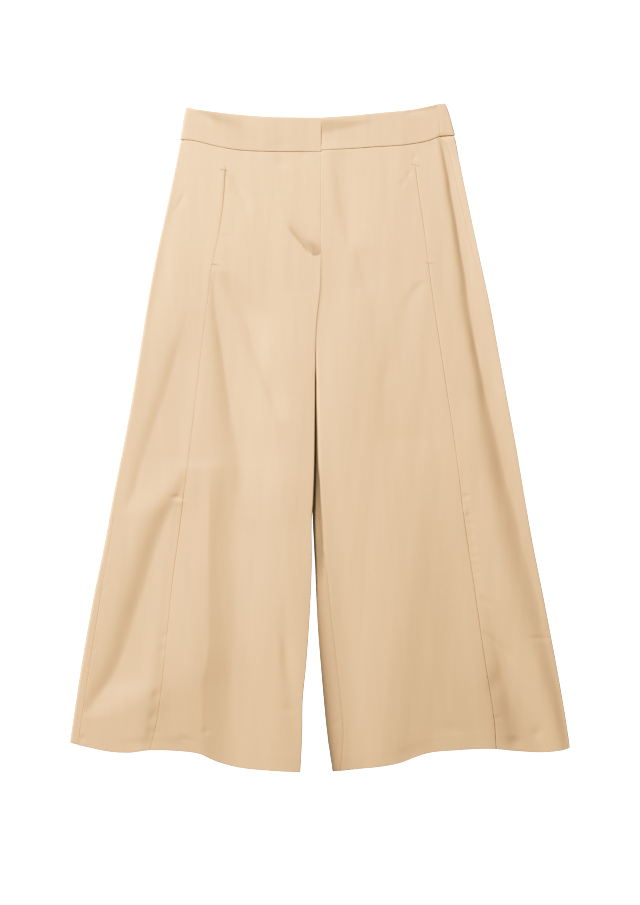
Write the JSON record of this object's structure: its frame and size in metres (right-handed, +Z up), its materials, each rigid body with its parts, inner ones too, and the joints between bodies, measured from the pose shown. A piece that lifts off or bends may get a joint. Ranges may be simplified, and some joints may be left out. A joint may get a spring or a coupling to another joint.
{
  "type": "culottes",
  "caption": "Wide-leg cropped culottes laid flat on their back, with a fitted waistband, lapped fly front, curved princess seams with slant pocket openings, and release pleats to the hem.",
  "frame": {"origin": "on the surface it lies on, under the middle of the garment's overall box", "axes": "+Z up through the front of the garment, +Y from the hems to the waist, -X towards the wearer's right leg"},
  "size_m": [0.6745, 0.9021, 0.0187],
  "materials": {
    "panel_cotton": "beige cotton sateen, soft low sheen",
    "waistband_cotton": "beige cotton sateen, doubled and pressed"
  },
  "bodies": {
    "root": {"front_waistband_right": "waistband_cotton", "front_waistband_left": "waistband_cotton", "back_waistband": "waistband_cotton", "centre_front_right": "panel_cotton", "centre_front_left": "panel_cotton", "side_front_right": "panel_cotton", "side_front_left": "panel_cotton", "back_right": "panel_cotton", "back_left": "panel_cotton"}
  },
  "joints": []
}
